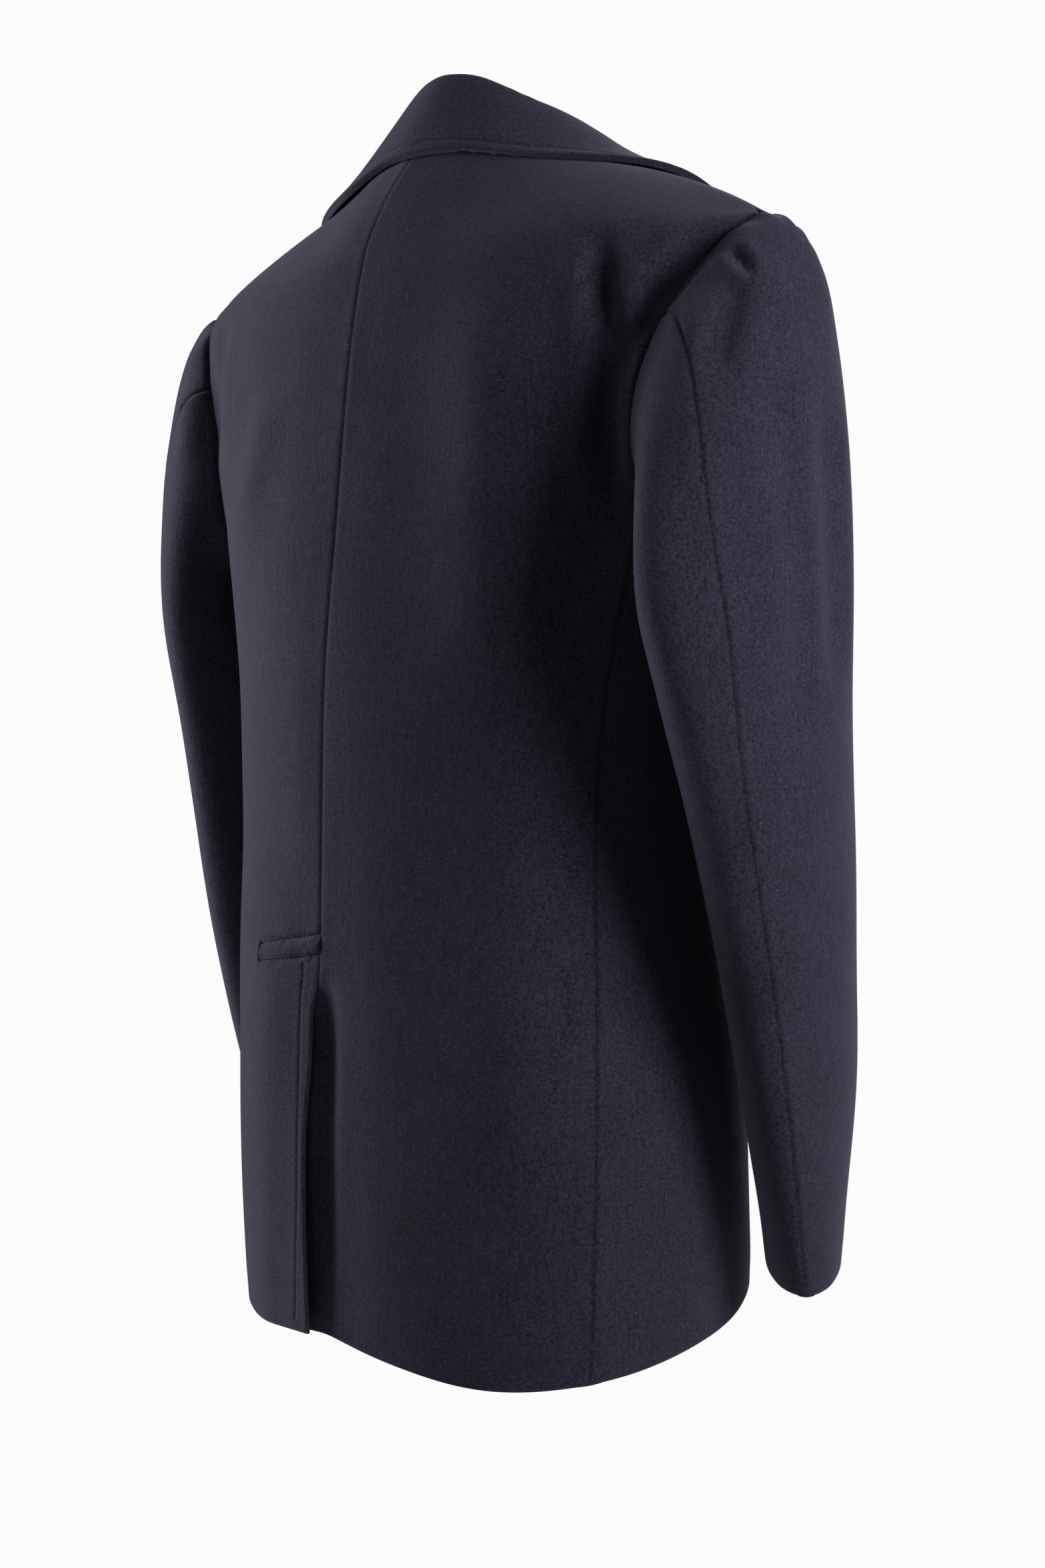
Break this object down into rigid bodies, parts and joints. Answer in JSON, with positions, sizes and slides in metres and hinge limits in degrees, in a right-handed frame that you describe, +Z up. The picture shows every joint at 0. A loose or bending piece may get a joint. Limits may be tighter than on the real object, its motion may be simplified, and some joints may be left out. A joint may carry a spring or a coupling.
{
  "type": "pea coat",
  "caption": "Dark navy wool pea coat, buttoned across the front, with a wide folded collar, notched lapels, set-in sleeves, slanted pocket welts and a centre back vent.",
  "frame": {"origin": "in the middle of the neck, level with the shoulder tops beside the collar seam", "axes": "+X towards the wearer's left, +Y towards the wearer's back, +Z up"},
  "size_m": [0.5383, 0.2957, 0.8096],
  "materials": {
    "navy_melton": "matt, napped wool melton",
    "dark_horn": "dark horn-like polyester, softly polished"
  },
  "bodies": {
    "root": {"back_left": "navy_melton", "back_right": "navy_melton", "front_left": "navy_melton", "front_right": "navy_melton", "top_sleeve_left": "navy_melton", "top_sleeve_right": "navy_melton", "under_sleeve_left": "navy_melton", "under_sleeve_right": "navy_melton", "pocket_welt_left": "navy_melton", "pocket_welt_right": "navy_melton", "lapel_left": "navy_melton", "lapel_right": "navy_melton", "collar": "navy_melton", "button_1": "dark_horn", "button_2": "dark_horn", "button_3": "dark_horn", "button_4": "dark_horn", "button_5": "dark_horn", "button_6": "dark_horn"}
  },
  "joints": []
}
